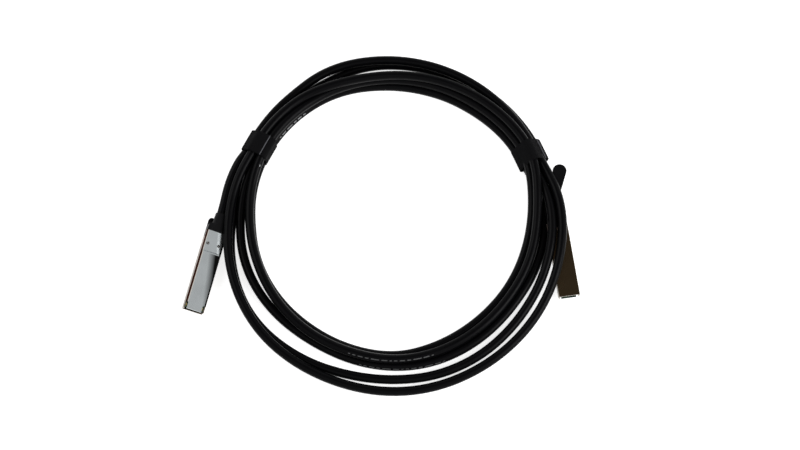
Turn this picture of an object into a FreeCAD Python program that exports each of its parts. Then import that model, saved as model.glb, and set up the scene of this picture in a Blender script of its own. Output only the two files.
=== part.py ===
import FreeCAD
import Part
import math
import os

# Direct attach copper cable: two identical four-lane plugs on one black cable,
# coiled flat and held by two hook-and-loop straps. Millimetres, +Z up, the coil
# lying on z = 0 and the origin on the floor midway between the two plugs.

V = FreeCAD.Vector

# Cable and coil
CABLE_D = 8.0
COIL_CENTRE = V(10.1, 23.6, 0.0)
COIL_INNER_R = 117.2
COIL_HEIGHT = 22.5
COIL_EDGE = 3.0
# outer radius of the coil at each angle in degrees, from +X and counter-clockwise
COIL_OUTLINE = [
    (0, 155.0), (18, 149.8), (34, 148.6), (62, 148.6), (90, 149.2), (118, 147.8),
    (142, 144.2), (158, 145.2), (174, 147.0), (194, 151.0), (216, 158.2), (243, 162.3),
    (270, 164.6), (297, 163.6), (324, 161.4), (342, 158.6),
]
BEND_SHARE = 0.45

# Tie straps
TIE_WIDTH = 20.0
TIE_THICK = 1.0
TIE_ANGLES = {"left": 150.5, "right": 21.5}
# where the tied cable starts from the coil's centre, and how deep it is
TIE_CORE = {"left": (119.7, 23.5), "right": (121.7, 25.8)}
TIE_CORNER_R = 6.5

# Plug body, in its own frame: X across, Y from the nose to the rear, +Z the pull-tab side
PLUG_W = 18.35
PLUG_H = 8.5
INSERT_L = 53.2
BACKSHELL_L = 19.2
HUMP = 1.0
HUMP_SLOPE_L = 0.6
LID_T = 1.2
EDGE_R = 0.5
NOTCH_W = 2.6
NOTCH_L = 5.7
SHELL_L = INSERT_L + BACKSHELL_L
# how far the raised part of the cover reaches across, at its front and its rear
HUMP_FRONT_X = (-4.9, PLUG_W / 2 - 0.4)
HUMP_REAR_X = (-1.0, PLUG_W / 2 - 0.8)
SLIDE_FIT = 0.1
RUN_CLEAR = 0.3

# Paddle card and its contacts
CARD_W = 16.42
CARD_T = 1.0
CARD_FIT = 0.06
CARD_FRONT = 1.6
CARD_NOSE_L = 10.0
CARD_BODY_W = 13.6
CARD_REAR = INSERT_L - 7.2
POST_L = 6.0
POST_PLACES = (15.0, CARD_REAR - 8.0)
PAD_COUNT = 19
PAD_PITCH = 0.8
PAD_W = 0.54
PAD_L = 2.4
PAD_T = 0.05
CHIP_SIZE = (4.4, 5.0, 1.1)
CHIP_FRONT = 24.0
CHIP_LEGS = 4

# Cavity and rear bore
CAVITY_W = 14.0
CAVITY_TOP = 6.5
CAVITY_REAR = INSERT_L + 5.3
RAIL_W = 1.2
RAIL_FRONT = 14.0
FERRULE_D = 6.6
FERRULE_BORE = 5.8
FERRULE_FLANGE_D = 7.2
FERRULE_FLANGE_T = 1.0
FERRULE_REAR = SHELL_L + 3.6

# Latch slider, its channels and springs
SHEET_T = 0.5
TRAVEL = 3.0
CHANNEL_FRONT = INSERT_L - 17.0
CHANNEL_LOW = 2.6
CHANNEL_HIGH = 6.8
POCKET_DEPTH = 1.3
POCKET_REAR = CHANNEL_FRONT + 7.3
RAMP_L = 2.5
BRIDGE_FRONT = INSERT_L + 6.8
BRIDGE_L = 7.0
TONGUE_W = 10.0
TONGUE_REAR = SHELL_L + 3.6
SPRING_X = 6.4
SPRING_D = 2.0
SPRING_WIRE = 0.35
SPRING_TURNS = 6
SPRING_STEPS = 8
GROOVE_W = 2.4
GROOVE_DEPTH = 2.3
GROOVE_REAR = SHELL_L - 1.4

# Cover screws
SCREW_PLACES = [(5.0, INSERT_L + 7.4), (-5.0, INSERT_L + 7.4)]
SCREW_SHANK_R = 0.8
SCREW_HEAD_R = 1.4
SCREW_REACH = 4.4
CROSS_W = 0.3
CROSS_SPAN = 1.6

# Boot and pull tab
BOOT_FLANGE_W = 17.2
BOOT_FLANGE_L = 7.2
BOOT_L = 17.6
BOOT_WALL = 0.9
TAB_T = 1.6
TAB_FRONT = BRIDGE_FRONT + 3.0
TAB_BASE_W = 17.4
TAB_BASE_REAR = SHELL_L + 13.6
TAB_ROOT_W = 8.0
TAB_END_W = 12.2
TAB_LENGTH = 36.0
TAB_SWING = 20.5
TWIST_L = 14.0

# Where each plug lies: the noses' span across the coil, each nose's place along Y, the
# heading of its nose-to-rear axis clockwise from +Y, and its turn about its own axis
NOSE_SPAN = 324.9
NOSE_MIDDLE = 0.85
PLUGS = {
    "a": {"nose": V(NOSE_MIDDLE - NOSE_SPAN / 2, -60.4, 0.0), "heading": 15.9, "turn": 199.0},
    "b": {"nose": V(NOSE_MIDDLE + NOSE_SPAN / 2, -58.0, 0.0), "heading": -6.0, "turn": 0.0},
}

# Route of each lead behind its straight run out of the boot
LEAD_EXIT_RUN = {"a": 19.0, "b": 14.0}
LEAD_ROUTE = {
    "a": [V(-131.5, 55.0, 9.4), V(-122.7, 74.6, 11.0)],
    "b": [V(151.3, 48.3, 4.8), V(147.0, 62.4, 4.9)],
}

HALF_W = PLUG_W / 2
CABLE_R = CABLE_D / 2
CABLE_Z = (PLUG_H - HUMP) / 2
CARD_Z = PLUG_H / 2
RECESS_DEPTH = SHEET_T + 2 * SLIDE_FIT
RECESS_Z = PLUG_H - RECESS_DEPTH
SHEET_TOP = PLUG_H - SLIDE_FIT
CHANNEL_X = HALF_W - RECESS_DEPTH
ARM_X = HALF_W - SLIDE_FIT
RECESS_FRONT = BRIDGE_FRONT - RUN_CLEAR
BOOT_TOP = SHEET_TOP - SHEET_T - RUN_CLEAR
BOOT_BOTTOM = 2 * CABLE_Z - BOOT_TOP
LEAD_START = SHELL_L + BOOT_L - 3 * CABLE_R


def box(x0, x1, y0, y1, z0, z1):
    return Part.makeBox(x1 - x0, y1 - y0, z1 - z0, V(x0, y0, z0))


def mirrored(shape):
    return shape.mirror(V(0, 0, 0), V(1, 0, 0))


def both_sides(shape):
    return [shape, mirrored(shape)]


def along_y(radius, y0, y1, x=0.0, z=0.0):
    return Part.makeCylinder(radius, y1 - y0, V(x, y0, z), V(0, 1, 0))


def along_z(radius, x, y, z0, z1):
    return Part.makeCylinder(radius, z1 - z0, V(x, y, z0), V(0, 0, 1))


def polygon(points):
    return Part.makePolygon(points + [points[0]])


def prism(points, direction):
    return Part.Face(polygon(points)).extrude(direction)


def joined(shapes):
    result = shapes[0]
    for shape in shapes[1:]:
        result = result.fuse(shape)
    return result.removeSplitter()


def less(shape, cutters):
    for cutter in cutters:
        shape = shape.cut(cutter)
    return shape


def rounded(shape, radius, wanted):
    """Rounds the edges that the test picks out."""
    edges = [edge for edge in shape.Edges if wanted(edge)]
    return shape.makeFillet(radius, edges) if edges else shape


def runs_along_y(edge):
    first = edge.Vertexes[0].Point
    last = edge.Vertexes[-1].Point
    return abs(last.x - first.x) < 1e-6 and abs(last.z - first.z) < 1e-6


# ---------------------------------------------------------------- plug pieces

def plug_cavities():
    """The hollows inside the two housing halves: mouth, main room, rear bore."""
    mouth = box(-CARD_W / 2 - CARD_FIT, CARD_W / 2 + CARD_FIT, -1, CARD_FRONT + CARD_NOSE_L + 0.5,
                LID_T, PLUG_H - LID_T)
    room = box(-CAVITY_W / 2, CAVITY_W / 2, CARD_FRONT + CARD_NOSE_L, CAVITY_REAR, LID_T, CAVITY_TOP)
    bore = along_y(FERRULE_D / 2, CAVITY_REAR - 1, SHELL_L + 1, 0, CABLE_Z)
    seat = along_y(FERRULE_FLANGE_D / 2, CAVITY_REAR - 1, CAVITY_REAR + FERRULE_FLANGE_T, 0, CABLE_Z)
    return joined([mouth, room, seat, bore])


def screw_holes():
    holes = []
    for x, y in SCREW_PLACES:
        holes.append(along_z(SCREW_SHANK_R, x, y, -HUMP - 1, SCREW_REACH + 0.2))
        holes.append(along_z(SCREW_HEAD_R, x, y, -HUMP - 1, 0.5))
    return holes


def slider_channels():
    """Side channels, latch pockets and the top recess that the slider runs in."""
    low = box(CHANNEL_X, HALF_W + 1, CHANNEL_FRONT, SHELL_L + 1, CHANNEL_LOW, CHANNEL_HIGH)
    riser = box(CHANNEL_X, HALF_W + 1, RECESS_FRONT, SHELL_L + 1, CHANNEL_LOW, PLUG_H + 1)
    pocket = box(HALF_W - POCKET_DEPTH, HALF_W + 1, CHANNEL_FRONT, POCKET_REAR, CHANNEL_LOW, CHANNEL_HIGH)
    groove = box(SPRING_X - GROOVE_W / 2, SPRING_X + GROOVE_W / 2, BRIDGE_FRONT, GROOVE_REAR,
                 RECESS_Z - GROOVE_DEPTH, PLUG_H)
    recess = box(-HALF_W - 1, HALF_W + 1, RECESS_FRONT, SHELL_L + 1, RECESS_Z, PLUG_H + 1)
    cutters = [recess]
    for side in (low, riser, pocket, groove):
        cutters += both_sides(side)
    return cutters


def housing_base():
    body = box(-HALF_W, HALF_W, 0, SHELL_L, LID_T, PLUG_H)
    body = rounded(body, EDGE_R, lambda e: runs_along_y(e) and e.Vertexes[0].Z > PLUG_H - 0.1)
    body = less(body, [plug_cavities()] + slider_channels() + screw_holes())
    rail = box(CAVITY_W / 2 - RAIL_W, CAVITY_W / 2 + 0.2, RAIL_FRONT, CARD_REAR, CARD_Z + CARD_T / 2, CAVITY_TOP + 0.2)
    return joined([body] + both_sides(rail))


def housing_cover():
    plate = box(-HALF_W, HALF_W, 0, SHELL_L, 0, LID_T)
    low = [V(-HALF_W, INSERT_L, 0), V(HALF_W, INSERT_L, 0), V(HALF_W, SHELL_L, 0), V(-HALF_W, SHELL_L, 0)]
    front = INSERT_L + HUMP_SLOPE_L
    high = [V(HUMP_FRONT_X[0], front, -HUMP), V(HUMP_FRONT_X[1], front, -HUMP),
            V(HUMP_REAR_X[1], SHELL_L, -HUMP), V(HUMP_REAR_X[0], SHELL_L, -HUMP)]
    hump = Part.makeLoft([polygon(low), polygon(high)], True, True)
    lid = joined([plate, hump])
    notch = box(HALF_W - NOTCH_W, HALF_W + 1, -1, NOTCH_L, -1, LID_T + 1)
    lid = less(lid, both_sides(notch) + [plug_cavities()] + screw_holes())
    posts = []
    for y in POST_PLACES:
        post = box(CAVITY_W / 2 - RAIL_W, CAVITY_W / 2 - SLIDE_FIT, y, y + POST_L,
                   LID_T - 0.2, CARD_Z - CARD_T / 2)
        posts += both_sides(post)
    return joined([lid] + posts)


def cover_screws():
    screws = []
    for x, y in SCREW_PLACES:
        shank = along_z(SCREW_SHANK_R, x, y, 0.0, SCREW_REACH)
        head = along_z(SCREW_HEAD_R, x, y, -0.6, 0.5)
        long = CROSS_SPAN / 2
        thin = CROSS_W / 2
        cross = joined([box(x - long, x + long, y - thin, y + thin, -1, -0.2),
                        box(x - thin, x + thin, y - long, y + long, -1, -0.2)])
        screws.append(joined([head, shank]).cut(cross))
    return Part.makeCompound(screws)


def paddle_card():
    z0 = CARD_Z - CARD_T / 2
    z1 = CARD_Z + CARD_T / 2
    nose = box(-CARD_W / 2, CARD_W / 2, CARD_FRONT, CARD_FRONT + CARD_NOSE_L, z0, z1)
    body = box(-CARD_BODY_W / 2, CARD_BODY_W / 2, CARD_FRONT + 1, CARD_REAR, z0, z1)
    card = joined([nose, body])
    bevel = prism([V(-9, CARD_FRONT, z0), V(-9, CARD_FRONT + 0.8, z0), V(-9, CARD_FRONT, z0 + 0.3)], V(18, 0, 0))
    top_bevel = bevel.mirror(V(0, 0, CARD_Z), V(0, 0, 1))
    return less(card, [bevel, top_bevel])


def contact_pads():
    pads = []
    for number in range(PAD_COUNT):
        x = (number - (PAD_COUNT - 1) / 2) * PAD_PITCH
        front = CARD_FRONT + 1.0
        for z0 in (CARD_Z + CARD_T / 2, CARD_Z - CARD_T / 2 - PAD_T):
            pads.append(box(x - PAD_W / 2, x + PAD_W / 2, front, front + PAD_L, z0, z0 + PAD_T))
    return Part.makeCompound(pads)


def memory_chip():
    width, length, height = CHIP_SIZE
    top = CARD_Z - CARD_T / 2
    body = box(-width / 2, width / 2, CHIP_FRONT, CHIP_FRONT + length, top - height, top - 0.15)
    legs = []
    for number in range(CHIP_LEGS):
        y = CHIP_FRONT + length * (number + 0.5) / CHIP_LEGS
        leg = box(width / 2 - 0.3, width / 2 + 0.9, y - 0.2, y + 0.2, top - 0.35, top)
        legs += both_sides(leg)
    return joined([body] + legs)


def pair_section(x, y, z, width, height):
    return polygon([V(x - width / 2, y, z - height / 2), V(x + width / 2, y, z - height / 2),
                    V(x + width / 2, y, z + height / 2), V(x - width / 2, y, z + height / 2)])


def twinax_pairs():
    """Eight shielded pairs, four on each face of the card, drawn together into the ferrule."""
    pairs = []
    for side in (1, -1):
        for column in (-1.5, -0.5, 0.5, 1.5):
            on_card = CARD_Z + side * (CARD_T / 2 + 0.45)
            in_cable = CABLE_Z + side * 0.65
            sections = [
                pair_section(column * 3.0, CARD_REAR - 7, on_card, 1.9, 0.9),
                pair_section(column * 3.0, CARD_REAR + 1, on_card, 1.9, 0.9),
                pair_section(column * 1.27, CAVITY_REAR - 1, in_cable, 1.15, 0.9),
                pair_section(column * 1.27, FERRULE_REAR, in_cable, 1.15, 0.9),
            ]
            pairs.append(Part.makeLoft(sections, True, True))
    return Part.makeCompound(pairs)


def wire_clamp(pairs):
    block = box(-6.6, 6.6, CARD_REAR + 2.0, CARD_REAR + 7.5, LID_T + 0.2, CAVITY_TOP - 0.2)
    return less(block, pairs.Solids)


def cable_ferrule():
    sleeve = along_y(FERRULE_D / 2, CAVITY_REAR, FERRULE_REAR, 0, CABLE_Z)
    flange = along_y(FERRULE_FLANGE_D / 2, CAVITY_REAR, CAVITY_REAR + FERRULE_FLANGE_T, 0, CABLE_Z)
    bore = along_y(FERRULE_BORE / 2, CAVITY_REAR - 1, FERRULE_REAR + 1, 0, CABLE_Z)
    return joined([sleeve, flange]).cut(bore)


def latch_slider():
    """A stamped sheet: two side arms with ejector ramps, a bridge, a tongue and two spring lugs."""
    low = CHANNEL_LOW + RUN_CLEAR
    high = CHANNEL_HIGH - RUN_CLEAR
    arm_front = CHANNEL_FRONT + RUN_CLEAR
    arm = box(ARM_X - SHEET_T, ARM_X, arm_front, BRIDGE_FRONT + BRIDGE_L, low, high)
    riser = box(ARM_X - SHEET_T, ARM_X, BRIDGE_FRONT, BRIDGE_FRONT + BRIDGE_L, low, SHEET_TOP)
    ramp = prism([V(ARM_X, arm_front, low), V(ARM_X - 1.0, arm_front, low),
                  V(ARM_X - SHEET_T, arm_front + RAMP_L, low), V(ARM_X, arm_front + RAMP_L, low)],
                 V(0, 0, high - low))
    lug = box(SPRING_X - SPRING_D / 2, SPRING_X + SPRING_D / 2, BRIDGE_FRONT + 0.2, BRIDGE_FRONT + 0.2 + SHEET_T,
              RECESS_Z - GROOVE_DEPTH + 0.2, SHEET_TOP)
    bridge = box(-ARM_X, ARM_X, BRIDGE_FRONT, BRIDGE_FRONT + BRIDGE_L, SHEET_TOP - SHEET_T, SHEET_TOP)
    tongue = box(-TONGUE_W / 2, TONGUE_W / 2, BRIDGE_FRONT, TONGUE_REAR, SHEET_TOP - SHEET_T, SHEET_TOP)
    pieces = [bridge, tongue]
    for side in (arm, riser, ramp, lug):
        pieces += both_sides(side)
    return joined(pieces)


def latch_springs():
    """Two compression springs between the slider's lugs and the rear ends of their grooves."""
    start = BRIDGE_FRONT + 0.2 + SHEET_T + SPRING_WIRE / 2 + 0.02
    length = GROOVE_REAR - start - SPRING_WIRE / 2 - 0.02
    mean_r = (SPRING_D - SPRING_WIRE) / 2
    half = SPRING_WIRE / 2
    sections = []
    for step in range(SPRING_TURNS * SPRING_STEPS + 1):
        angle = 2 * math.pi * step / SPRING_STEPS
        y = length * step / (SPRING_TURNS * SPRING_STEPS)
        corners = []
        for out, back in ((-half, -half), (half, -half), (half, half), (-half, half)):
            radius = mean_r + out
            corners.append(V(radius * math.cos(angle), y + back, radius * math.sin(angle)))
        sections.append(polygon(corners))
    coil = Part.makeLoft(sections, True, True)
    middle = RECESS_Z - GROOVE_DEPTH / 2
    springs = []
    for x in (SPRING_X, -SPRING_X):
        spring = coil.copy()
        spring.translate(V(x, start, middle))
        springs.append(spring)
    return Part.makeCompound(springs)


def boot():
    """Moulded strain relief: a flange against the housing and a tapering neck round the cable."""
    rear = SHELL_L + BOOT_L
    flange = box(-BOOT_FLANGE_W / 2, BOOT_FLANGE_W / 2, SHELL_L, SHELL_L + BOOT_FLANGE_L, BOOT_BOTTOM, BOOT_TOP)
    flange = rounded(flange, 2.0, lambda e: abs(e.Vertexes[0].Y - e.Vertexes[1].Y) < 1e-6
                     and e.Vertexes[0].Y > SHELL_L + 1 and abs(e.Vertexes[0].X - e.Vertexes[1].X) < 1e-6)
    neck = Part.makeCone(CABLE_R + 2.2, CABLE_R + BOOT_WALL, BOOT_L, V(0, SHELL_L, CABLE_Z), V(0, 1, 0))
    flat_top = SHEET_TOP - RUN_CLEAR
    keep = box(-HALF_W, HALF_W, SHELL_L, rear, 2 * CABLE_Z - flat_top, flat_top)
    under_tongue = box(-HALF_W, HALF_W, SHELL_L - 1, TONGUE_REAR + TRAVEL + RUN_CLEAR, BOOT_TOP, PLUG_H)
    body = joined([flange, neck.common(keep).cut(under_tongue)])
    cable_hole = along_y(CABLE_R, LEAD_START, rear + 1, 0, CABLE_Z)
    ferrule_hole = along_y(FERRULE_D / 2, SHELL_L - 1, LEAD_START + 1, 0, CABLE_Z)
    return less(body, [cable_hole, ferrule_hole])


def tab_base():
    base = box(-TAB_BASE_W / 2, TAB_BASE_W / 2, TAB_FRONT, TAB_BASE_REAR, SHEET_TOP, SHEET_TOP + TAB_T)
    return rounded(base, 3.0, lambda e: abs(e.Vertexes[0].Z - e.Vertexes[1].Z) > 0.1
                   and e.Vertexes[0].Y > TAB_BASE_REAR - 0.1)


# ---------------------------------------------------------------- placing the plugs

def plug_turn(plug):
    """Turn about the plug's own axis, then to its heading."""
    roll = FreeCAD.Rotation(V(0, 1, 0), plug["turn"])
    heading = FreeCAD.Rotation(V(0, 0, 1), -plug["heading"])
    return heading.multiply(roll)


def plug_placement(plug):
    """Sets the plug down so that its lowest corner touches the floor."""
    turn = plug_turn(plug)
    lowest = 0.0
    for shape in (housing_cover(), tab_base()):
        for vertex in shape.Vertexes:
            lowest = min(lowest, turn.multVec(vertex.Point).z)
    return FreeCAD.Placement(plug["nose"] + V(0, 0, -lowest), turn)


def placed(shape, placement):
    result = shape.copy()
    result.Placement = placement
    return result


def direction(degrees):
    """Unit vector at an angle clockwise from +Y."""
    angle = math.radians(degrees)
    return V(math.sin(angle), math.cos(angle), 0)


def flat_strap(start, degrees, level, width_0, width_1, grow):
    """The level part of a pull tab: it widens to a full-round end."""
    length = TAB_LENGTH - TWIST_L
    wide = width_1 / 2 + grow
    narrow = width_0 / 2 + grow
    straight = length - width_1 / 2
    edges = [
        Part.LineSegment(V(-narrow, -0.001, 0), V(-wide, straight, 0)).toShape(),
        Part.Arc(V(-wide, straight, 0), V(0, straight + wide, 0), V(wide, straight, 0)).toShape(),
        Part.LineSegment(V(wide, straight, 0), V(narrow, -0.001, 0)).toShape(),
        Part.LineSegment(V(narrow, -0.001, 0), V(-narrow, -0.001, 0)).toShape(),
    ]
    strap = Part.Face(Part.Wire(edges)).extrude(V(0, 0, TAB_T + 2 * grow))
    turn = FreeCAD.Rotation(V(0, 0, 1), -degrees)
    return placed(strap, FreeCAD.Placement(V(start.x, start.y, level - grow), turn))


def tab_strap(plug, placement, grow):
    """The free part of a pull tab: it leaves the base at the plug's turn and ends level."""
    heading = plug["heading"] + TAB_SWING
    over = plug["turn"] > 90
    low, high = (SHEET_TOP + TAB_T, SHEET_TOP) if over else (SHEET_TOP, SHEET_TOP + TAB_T)
    left = 1 if over else -1
    step = grow * (1 if high > low else -1)
    half = TAB_ROOT_W / 2 + grow
    root = TAB_BASE_REAR
    first = []
    for side, z in ((left, low - step), (-left, low - step), (-left, high + step), (left, high + step)):
        first.append(placement.multVec(V(side * half, root, z)))
    middle = placement.multVec(V(0, root, SHEET_TOP + TAB_T / 2))
    level = 0.0 if over else middle.z - TAB_T / 2
    start = middle + direction(heading) * TWIST_L
    share = TWIST_L / TAB_LENGTH
    width = TAB_ROOT_W + (TAB_END_W - TAB_ROOT_W) * share
    across = direction(heading + 90) * (width / 2 + grow)
    second = []
    for side, z in ((-1, level - grow), (1, level - grow), (1, level + TAB_T + grow), (-1, level + TAB_T + grow)):
        second.append(V(start.x, start.y, z) + across * side)
    twist = Part.makeLoft([polygon(first), polygon(second)], True, True)
    return joined([twist, flat_strap(start, heading, level, width, TAB_END_W, grow)])


def pull_tab(plug, placement):
    return joined([placed(tab_base(), placement), tab_strap(plug, placement, 0.0)])


def room_for_plug(plug, placement):
    """What the coil keeps clear of: the plug, its boot, and the tab over its whole travel."""
    top = SHEET_TOP + TAB_T + RUN_CLEAR
    body = box(-HALF_W - RUN_CLEAR, HALF_W + RUN_CLEAR, -RUN_CLEAR, SHELL_L + BOOT_L + RUN_CLEAR,
               -HUMP - RUN_CLEAR, top)
    strap = tab_strap(plug, placement, 3 * RUN_CLEAR)
    pulled = strap.copy()
    pulled.translate(direction(plug["heading"]) * TRAVEL)
    return [placed(body, placement), strap, pulled]


# ---------------------------------------------------------------- cable, coil and ties

def tube(route, radius):
    """Straight runs joined by tangent arcs, with a round section swept along them."""
    edges = []
    at = route[0]
    for before, corner, after in zip(route, route[1:], route[2:]):
        run_in = corner - before
        run_out = after - corner
        reach = BEND_SHARE * min(run_in.Length, run_out.Length)
        half_turn = run_in.getAngle(run_out) / 2
        start = corner - run_in.normalize() * reach
        end = corner + run_out.normalize() * reach
        bend = reach / math.tan(half_turn)
        print("arc radius %.0f mm, turn %.1f degrees" % (bend, math.degrees(2 * half_turn)))
        inward = ((start + end) * 0.5 - corner).normalize()
        middle = corner + inward * (bend / math.cos(half_turn) - bend)
        edges.append(Part.LineSegment(at, start).toShape())
        edges.append(Part.Arc(start, middle, end).toShape())
        at = end
    edges.append(Part.LineSegment(at, route[-1]).toShape())
    path = Part.Wire(edges)
    section = Part.Wire(Part.Circle(route[0], route[1] - route[0], radius).toShape())
    solid = path.makePipeShell([section], True, True)
    wanted = math.pi * radius ** 2 * path.Length
    print("tube %.1f mm long, volume %.4f of section times length" % (path.Length, solid.Volume / wanted))
    return solid


def lead_route(name, placement):
    start = placement.multVec(V(0, LEAD_START, CABLE_Z))
    exit_end = placement.multVec(V(0, LEAD_START + LEAD_EXIT_RUN[name], CABLE_Z))
    return [start, exit_end] + LEAD_ROUTE[name]


def lead_channels(route):
    """Square channels the coil keeps open round a lead, closed at the lead's end face."""
    half = CABLE_R + RUN_CLEAR
    channels = []
    for number in range(1, len(route)):
        run = route[number] - route[number - 1]
        beyond = 0.0 if number == len(route) - 1 else half
        channel = box(-half, half, -half, run.Length + beyond, -half, half)
        channels.append(placed(channel, FreeCAD.Placement(route[number - 1], FreeCAD.Rotation(V(0, 1, 0), run))))
    return channels


def at_angle(shape, degrees):
    """Moves a shape built on the +X axis to its place round the coil."""
    shape = shape.copy()
    shape.rotate(V(0, 0, 0), V(0, 0, 1), degrees)
    shape.translate(COIL_CENTRE)
    return shape


def bundle(inner, outer, low, high, corner):
    block = box(inner, outer, -TIE_WIDTH / 2, TIE_WIDTH / 2, low, high)
    return rounded(block, corner, runs_along_y)


def tie_core(side):
    inner, depth = TIE_CORE[side]
    return bundle(inner, inner + depth, TIE_THICK, COIL_HEIGHT, TIE_CORNER_R)


def tie_strap(side):
    inner, depth = TIE_CORE[side]
    outer = inner + depth
    band = bundle(inner - TIE_THICK, outer + TIE_THICK, 0, COIL_HEIGHT + TIE_THICK, TIE_CORNER_R + TIE_THICK)
    return at_angle(band.cut(tie_core(side)), TIE_ANGLES[side])


def coil_ring():
    points = []
    for degrees, radius in COIL_OUTLINE:
        angle = math.radians(degrees)
        points.append(V(radius * math.cos(angle), radius * math.sin(angle), 0))
    arcs = []
    for first in range(0, len(points), 2):
        start, middle, end = points[first], points[first + 1], points[(first + 2) % len(points)]
        arcs.append(Part.Arc(start, middle, end).toShape())
    outer = Part.Face(Part.Wire(arcs)).extrude(V(0, 0, COIL_HEIGHT))
    ring = outer.cut(along_z(COIL_INNER_R, 0, 0, -1, COIL_HEIGHT + 1))
    rims = [edge for edge in ring.Edges if abs(edge.BoundBox.ZLength) < 1e-3]
    return at_angle(ring.makeChamfer(COIL_EDGE, rims), 0)


def cable_coil(cutters):
    ring = coil_ring()
    cores = []
    for side, degrees in TIE_ANGLES.items():
        inner, depth = TIE_CORE[side]
        slot = box(inner - 15, inner + depth + 25, -TIE_WIDTH / 2, TIE_WIDTH / 2, -1, COIL_HEIGHT + 1)
        ring = ring.cut(at_angle(slot, degrees))
        cores.append(at_angle(tie_core(side), degrees))
    ring = ring.fuse(cores)
    return less(ring, cutters)


# ---------------------------------------------------------------- putting it together

def plug_pieces():
    pairs = twinax_pairs()
    return {
        "housing_base": housing_base(),
        "housing_cover": housing_cover(),
        "cover_screws": cover_screws(),
        "paddle_card": paddle_card(),
        "contact_pads": contact_pads(),
        "memory_chip": memory_chip(),
        "twinax_pairs": pairs,
        "wire_clamp": wire_clamp(pairs),
        "cable_ferrule": cable_ferrule(),
        "latch_slider": latch_slider(),
        "latch_springs": latch_springs(),
        "strain_relief_boot": boot(),
    }


def all_parts():
    parts = {}
    cutters = []
    pieces = plug_pieces()
    for name, plug in PLUGS.items():
        placement = plug_placement(plug)
        for piece, shape in pieces.items():
            parts[piece + "_" + name] = placed(shape, placement)
        parts["pull_tab_" + name] = pull_tab(plug, placement)
        route = lead_route(name, placement)
        parts["cable_lead_" + name] = tube(route, CABLE_R)
        cutters += room_for_plug(plug, placement) + lead_channels(route)
    parts["cable_coil"] = cable_coil(cutters)
    for side in TIE_ANGLES:
        parts["tie_strap_" + side] = tie_strap(side)
    return parts


def main():
    os.makedirs("parts", exist_ok=True)
    for node, shape in all_parts().items():
        shape.exportStep("parts/" + node + ".step")
        print(node, len(shape.Solids), shape.isValid(), round(shape.Volume, 1))


main()
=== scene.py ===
"""A coiled direct attach copper cable with a plug at each end, dressed over its CAD frame."""
import math

import bpy
from bpy.props import FloatProperty, FloatVectorProperty, PointerProperty
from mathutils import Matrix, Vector


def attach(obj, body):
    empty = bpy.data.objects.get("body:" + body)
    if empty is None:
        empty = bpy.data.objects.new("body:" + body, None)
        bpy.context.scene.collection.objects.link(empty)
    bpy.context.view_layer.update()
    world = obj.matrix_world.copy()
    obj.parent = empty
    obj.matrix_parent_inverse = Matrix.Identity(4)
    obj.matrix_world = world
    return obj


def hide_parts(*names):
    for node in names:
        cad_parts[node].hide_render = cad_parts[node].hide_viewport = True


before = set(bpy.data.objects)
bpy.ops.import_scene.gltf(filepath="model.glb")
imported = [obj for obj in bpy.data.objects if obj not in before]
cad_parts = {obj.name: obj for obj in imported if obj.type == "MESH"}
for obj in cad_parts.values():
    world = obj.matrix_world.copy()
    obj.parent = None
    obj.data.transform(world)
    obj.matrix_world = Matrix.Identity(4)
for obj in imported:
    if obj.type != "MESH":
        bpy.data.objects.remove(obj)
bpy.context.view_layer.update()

bl_info = {
    "name": "Direct attach copper cable",
    "version": (1, 0, 0),
    "blender": (4, 5, 0),
    "location": "3D View > Sidebar > Cable",
    "description": "Builds a coiled copper cable with two pluggable ends and its studio",
    "category": "Object",
}

MM = 0.001
SIDES = ("a", "b")

# The jacket's radius in millimetres
JACKET_RADIUS = 4.0

# The coil's centre on the floor, in metres
COIL_CENTRE = Vector((0.0101, 0.0236, 0.0))

# Where the six strands lie in each tie: the tie's angle, then each strand's (radius, height) in millimetres.
# They run straight for TIE_REACH degrees on both sides of that angle.
TIE_REACH = 4
LEFT_TIE = 150.5
LEFT_SLOTS = {
    "a": (123.9, 5.0), "b": (132.3, 5.0), "c": (128.1, 11.75),
    "d": (138.1, 11.75), "e": (123.9, 18.5), "f": (132.3, 18.5),
}
RIGHT_TIE = 21.5
RIGHT_SLOTS = {
    "a": (127.2, 5.0), "b": (135.4, 5.0), "c": (144.5, 5.0),
    "d": (131.3, 11.9), "e": (140.3, 12.2), "f": (135.8, 18.5),
}

# The short way over the tied side, by (left slot, right slot): (radius, height) at each of the tied angles
TIED_ANGLES = (125, 110, 100, 90, 75, 50)
TIED_SIDE = {
    ("a", "a"): [(124.4, 4.0), (124.3, 4.0), (122.9, 4.0), (121.5, 4.0), (121.1, 4.0), (122.7, 4.0)],
    ("c", "b"): [(130.8, 9.7), (131.0, 8.3), (130.6, 6.0), (131.8, 4.2), (132.6, 4.0), (133.0, 4.2)],
    ("b", "c"): [(136.2, 4.0), (138.1, 4.0), (141.8, 4.0), (142.5, 4.0), (142.0, 4.0), (144.0, 4.4)],
    ("e", "d"): [(124.4, 14.5), (124.8, 13.0), (124.6, 12.2), (125.0, 11.2), (125.4, 11.0), (126.9, 11.0)],
    ("d", "e"): [(140.2, 11.4), (145.5, 11.2), (144.5, 11.5), (144.0, 11.9), (143.1, 11.9), (141.5, 12.2)],
    ("f", "f"): [(131.1, 18.3), (126.7, 19.8), (124.9, 20.4), (125.6, 19.4), (127.6, 18.7), (131.5, 18.4)],
}

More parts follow.
